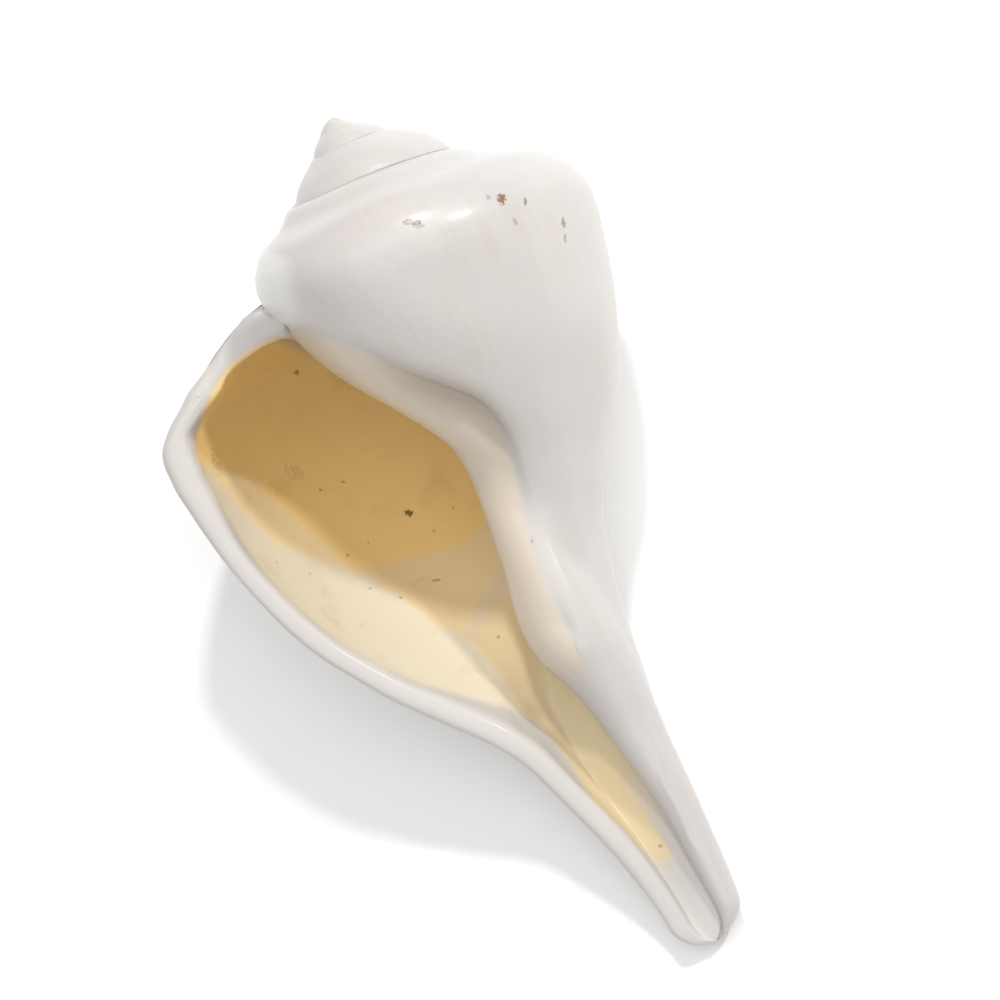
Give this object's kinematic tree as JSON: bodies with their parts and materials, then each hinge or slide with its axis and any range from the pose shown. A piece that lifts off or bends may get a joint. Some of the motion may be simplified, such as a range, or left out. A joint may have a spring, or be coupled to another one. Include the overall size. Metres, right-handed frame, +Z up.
{
  "type": "conch shell",
  "caption": "Left-handed whelk shell, sold as a conch, lying on its back with its wide opening upwards and a long open canal.",
  "frame": {"origin": "centre of the bounding box at the level of the surface that the shell lies on", "axes": "+Z up, +Y along the shell towards the top of its spire, -Y towards the canal's tip, the lip of the opening on the -X side"},
  "size_m": [0.0832, 0.1432, 0.0704],
  "materials": {
    "shell": "white shell with a faint pink and tan tint, satin to glossy, fine growth lines, golden cream inside"
  },
  "bodies": {
    "root": {"shell": "shell"}
  },
  "joints": []
}
